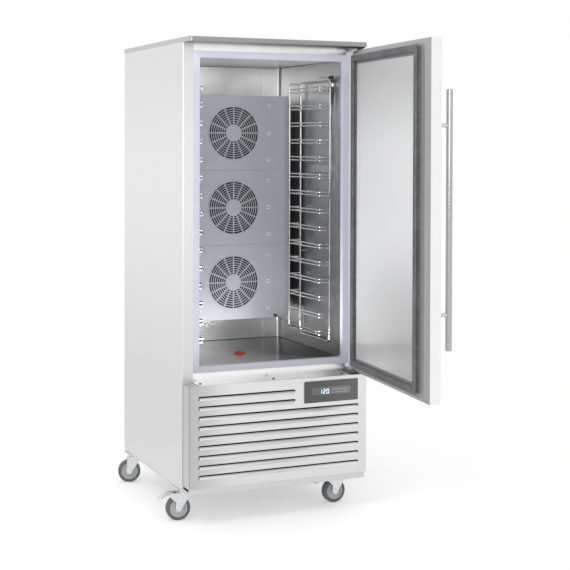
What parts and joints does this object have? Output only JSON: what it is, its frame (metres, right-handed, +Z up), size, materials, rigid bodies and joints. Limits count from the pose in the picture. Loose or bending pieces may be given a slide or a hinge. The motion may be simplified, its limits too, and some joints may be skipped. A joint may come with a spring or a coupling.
{
  "type": "blast chiller",
  "caption": "Upright insulated cabinet on castors with a hinged door, fan wall, wire tray racks, food probe and louvred machine space.",
  "frame": {"origin": "on the floor, under the middle of the bounding box with the door open", "axes": "+Z up, -Y out of the door opening, +X to the right when facing the opening"},
  "size_m": [0.8662, 1.6262, 1.964],
  "materials": {
    "satin_steel": "satin brushed stainless sheet",
    "polished_steel": "bright smooth stainless sheet",
    "wire": "polished stainless rod",
    "fan_cover": "smooth blue-grey sheet",
    "breaker": "pale lilac extrusion",
    "foam": "rigid insulating foam",
    "gasket": "soft dark magnetic gasket",
    "zinc": "zinc-plated pressed steel",
    "hinge": "dark coated steel",
    "fascia": "dark smooth touch fascia",
    "fins": "aluminium fins on copper tube",
    "rotor": "moulded axial rotor",
    "machine_black": "black enamel",
    "copper": "drawn copper line and black receiver",
    "plug": "orange-red moulded plug",
    "drain": "pale plastic pipe",
    "probe_grip": "black moulded grip",
    "cable": "grey jacketed lead",
    "tread": "grey cast tyre",
    "hub": "pale grey moulded hub"
  },
  "bodies": {
    "cabinet": {"side_panel_left": "satin_steel", "side_panel_right": "satin_steel", "back_panel": "satin_steel", "roof_cap": "satin_steel", "cabinet_foam": "foam", "inner_liner": "polished_steel", "floor_pan": "polished_steel", "front_frame": "satin_steel", "breaker_frame": "breaker", "drain_pipe": "drain", "base_frame": "zinc", "louvre_panel": "satin_steel", "panel_screws": "zinc", "control_fascia": "fascia", "fan_panel_1": "fan_cover", "fan_panel_2": "fan_cover", "fan_panel_3": "fan_cover", "evaporator_frame": "zinc", "evaporator_coil": "fins", "fan_motors": "machine_black", "rack_left": "wire", "rack_right": "wire", "rack_rails": "polished_steel", "probe_clip": "polished_steel", "probe_handle": "probe_grip", "probe_needle": "wire", "probe_cable": "cable", "cable_glands": "probe_grip", "compressor": "machine_black", "condenser_coil": "fins", "condenser_shroud": "zinc", "condenser_motor": "machine_black", "receiver_and_pipes": "copper", "hinge_brackets": "hinge", "castor_plates": "zinc"},
    "door": {"door_shell": "satin_steel", "door_foam": "foam", "door_liner": "polished_steel", "door_gasket": "gasket", "handle_bar": "wire", "handle_posts": "zinc"},
    "drain_plug": {"drain_plug": "plug"},
    "condenser_fan": {"condenser_fan": "rotor"},
    "fan_rotor_1": {"fan_rotor_1": "rotor"},
    "fan_rotor_2": {"fan_rotor_2": "rotor"},
    "fan_rotor_3": {"fan_rotor_3": "rotor"},
    "castor_1": {"castor_fork_1": "zinc"},
    "wheel_1": {"castor_tyre_1": "tread", "castor_hub_1": "hub"},
    "brake_1": {"brake_pedal_1": "zinc"},
    "castor_2": {"castor_fork_2": "zinc"},
    "wheel_2": {"castor_tyre_2": "tread", "castor_hub_2": "hub"},
    "brake_2": {"brake_pedal_2": "zinc"},
    "castor_3": {"castor_fork_3": "zinc"},
    "wheel_3": {"castor_tyre_3": "tread", "castor_hub_3": "hub"},
    "castor_4": {"castor_fork_4": "zinc"},
    "wheel_4": {"castor_tyre_4": "tread", "castor_hub_4": "hub"}
  },
  "joints": [
    {"name": "door_swing", "type": "hinge", "parent": "cabinet", "child": "door", "pos_m": [0.40688, -0.04974, 1.2565], "axis": [0, 0, 1], "range_deg": [-84.1, 25.9]},
    {"name": "drain_plug_lift", "type": "slide", "parent": "cabinet", "child": "drain_plug", "axis": [0, 0, 1], "range_m": [0, 0.04]},
    {"name": "condenser_fan_spin", "type": "hinge", "parent": "cabinet", "child": "condenser_fan", "pos_m": [-0.11512, 0.01726, 0.339], "axis": [0, 1, 0], "continuous": true},
    {"name": "evaporator_fan_spin_1", "type": "hinge", "parent": "cabinet", "child": "fan_rotor_1", "pos_m": [0.03488, 0.45546, 0.9225], "axis": [0, 1, 0], "continuous": true},
    {"name": "evaporator_fan_spin_2", "type": "hinge", "parent": "cabinet", "child": "fan_rotor_2", "pos_m": [0.03488, 0.45546, 1.2535], "axis": [0, 1, 0], "continuous": true},
    {"name": "evaporator_fan_spin_3", "type": "hinge", "parent": "cabinet", "child": "fan_rotor_3", "pos_m": [0.03488, 0.45546, 1.5845], "axis": [0, 1, 0], "continuous": true},
    {"name": "castor_swivel_1", "type": "hinge", "parent": "cabinet", "child": "castor_1", "pos_m": [-0.31712, 0.09226, 0.1], "axis": [0, 0, 1], "continuous": true},
    {"name": "wheel_roll_1", "type": "hinge", "parent": "castor_1", "child": "wheel_1", "pos_m": [-0.34682, 0.09643, 0.05], "axis": [-0.1392, -0.9903, 0], "continuous": true},
    {"name": "brake_press_1", "type": "hinge", "parent": "castor_1", "child": "brake_1", "pos_m": [-0.37653, 0.10061, 0.1057], "axis": [-0.1392, -0.9903, 0], "range_deg": [0, 16]},
    {"name": "castor_swivel_2", "type": "hinge", "parent": "cabinet", "child": "castor_2", "pos_m": [0.38688, 0.09226, 0.1], "axis": [0, 0, 1], "continuous": true},
    {"name": "wheel_roll_2", "type": "hinge", "parent": "castor_2", "child": "wheel_2", "pos_m": [0.35688, 0.09226, 0.05], "axis": [0, -1, 0], "continuous": true},
    {"name": "brake_press_2", "type": "hinge", "parent": "castor_2", "child": "brake_2", "pos_m": [0.32688, 0.09226, 0.1057], "axis": [0, -1, 0], "range_deg": [0, 16]},
    {"name": "castor_swivel_3", "type": "hinge", "parent": "cabinet", "child": "castor_3", "pos_m": [-0.31712, 0.75726, 0.1], "axis": [0, 0, 1], "continuous": true},
    {"name": "wheel_roll_3", "type": "hinge", "parent": "castor_3", "child": "wheel_3", "pos_m": [-0.34609, 0.76502, 0.05], "axis": [-0.2588, -0.9659, 0], "continuous": true},
    {"name": "castor_swivel_4", "type": "hinge", "parent": "cabinet", "child": "castor_4", "pos_m": [0.38688, 0.75726, 0.1], "axis": [0, 0, 1], "continuous": true},
    {"name": "wheel_roll_4", "type": "hinge", "parent": "castor_4", "child": "wheel_4", "pos_m": [0.357, 0.75987, 0.05], "axis": [-0.0872, -0.9962, 0], "continuous": true}
  ]
}
